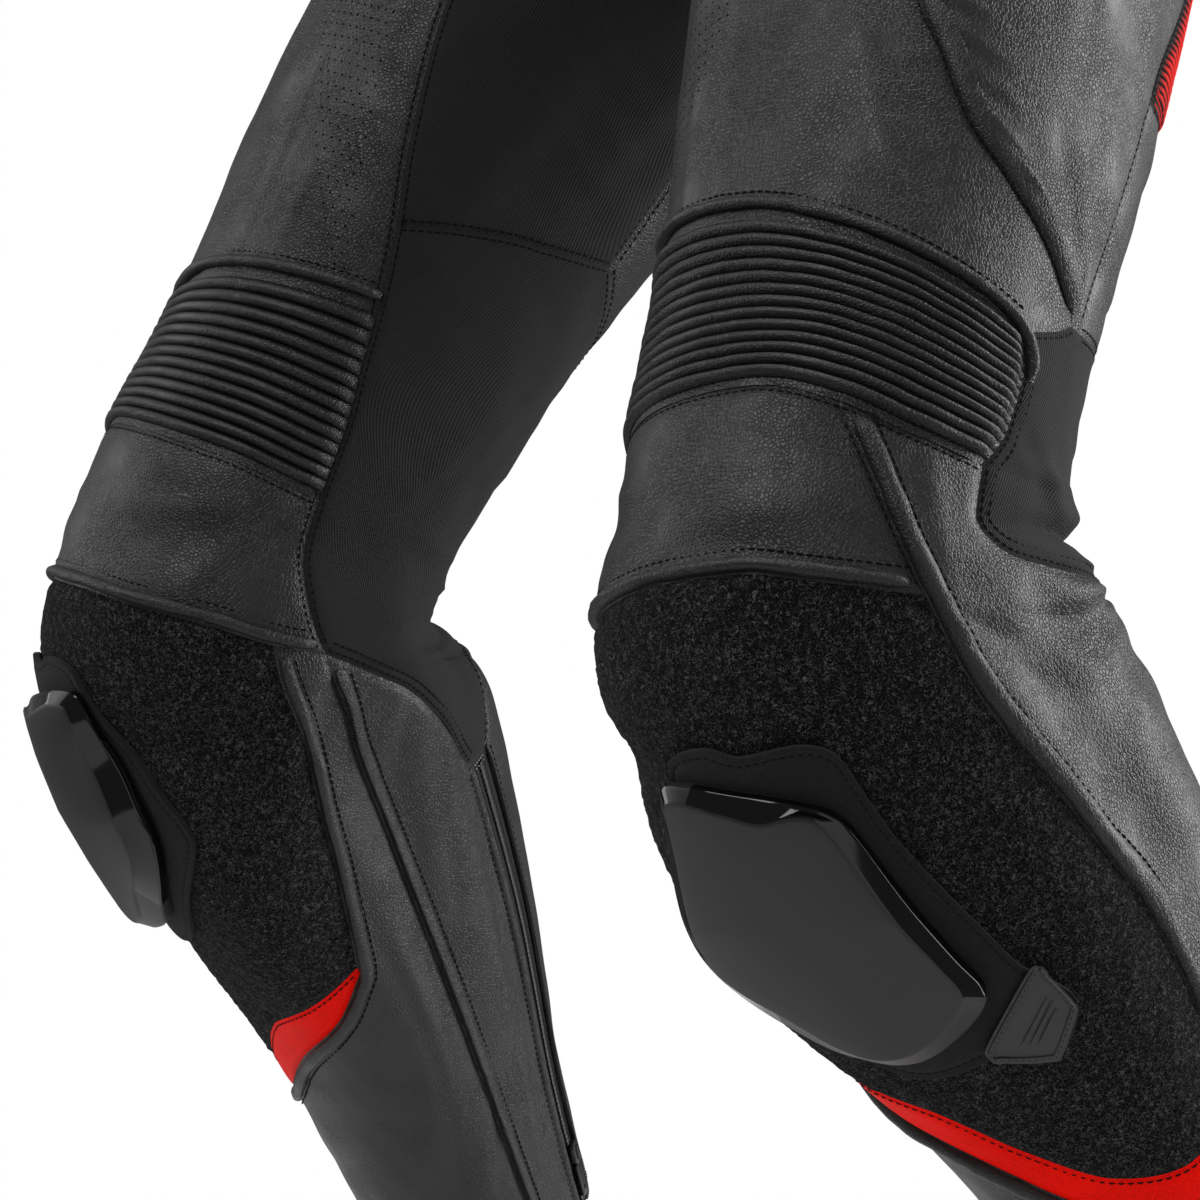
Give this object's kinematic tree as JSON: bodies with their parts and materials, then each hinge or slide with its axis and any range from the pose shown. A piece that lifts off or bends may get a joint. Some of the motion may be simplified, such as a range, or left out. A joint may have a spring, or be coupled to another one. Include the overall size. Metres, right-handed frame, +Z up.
{
  "type": "motorcycle trousers",
  "caption": "Leather motorcycle trousers in a filled-out riding shape: ribbed stretch above the bent knees, loop panels with knee sliders, zipped calves, open waist and hems.",
  "frame": {"origin": "middle of the waist opening, at the wearer's waist", "axes": "+Z up, the wearer faces -Y, the wearer's left side is +X"},
  "size_m": [0.6324, 0.4549, 1.013],
  "materials": {
    "leather": "semi-matt grained leather",
    "stretch": "fine ribbed stretch knit",
    "loop": "fuzzy loop pile",
    "red_leather": "smooth leather",
    "red_ribs": "ribbed stretch cloth",
    "suede": "suede",
    "slider": "matt moulded face with a glossy bevel",
    "rubber": "moulded rubber",
    "zip": "zip tape with a coil",
    "metal": "black coated"
  },
  "bodies": {
    "trousers": {"accordion_left": "leather", "accordion_right": "leather", "calf_back_left": "leather", "calf_back_right": "leather", "calf_inner_left": "leather", "calf_inner_right": "leather", "calf_side_left": "leather", "calf_side_right": "leather", "gusset_left": "stretch", "gusset_right": "stretch", "knee_front_left": "leather", "knee_front_right": "leather", "knee_loop_left": "loop", "knee_loop_right": "loop", "knee_stretch_left": "stretch", "knee_stretch_right": "stretch", "knee_trim_left": "red_leather", "knee_trim_right": "red_leather", "piping_knee_left": "leather", "piping_knee_right": "leather", "piping_loop_left": "leather", "piping_loop_right": "leather", "piping_ribs_left": "leather", "piping_ribs_right": "leather", "seat_left": "leather", "seat_right": "leather", "seat_ribs_left": "red_ribs", "seat_ribs_right": "red_ribs", "shin_outer_left": "leather", "shin_outer_right": "leather", "slider_flap_left": "suede", "slider_flap_right": "suede", "slider_label_left": "rubber", "slider_label_right": "rubber", "slider_puck_left": "slider", "slider_puck_right": "slider", "thigh_back_left": "leather", "thigh_back_right": "leather", "thigh_front_left": "leather", "thigh_front_right": "leather", "thigh_outer_left": "leather", "thigh_outer_right": "leather", "welt_front_left": "leather", "welt_front_right": "leather", "welt_shin_left": "leather", "welt_shin_right": "leather", "zip_left": "zip", "zip_right": "zip", "zip_runner_left": "metal", "zip_runner_right": "metal", "fly_flap": "leather", "waist_snap": "metal", "waistband": "leather"},
    "pull_left": {"zip_pull_left": "metal"},
    "pull_right": {"zip_pull_right": "metal"}
  },
  "joints": [
    {"name": "pull_left_hinge", "type": "hinge", "parent": "trousers", "child": "pull_left", "pos_m": [0.21187, 0.02598, -0.91163], "axis": [0.4333, 0.7056, 0.5607], "range_deg": [0, 120]},
    {"name": "pull_right_hinge", "type": "hinge", "parent": "trousers", "child": "pull_right", "pos_m": [-0.21187, 0.02598, -0.91163], "axis": [0.4333, -0.7056, -0.5607], "range_deg": [0, 120]}
  ]
}
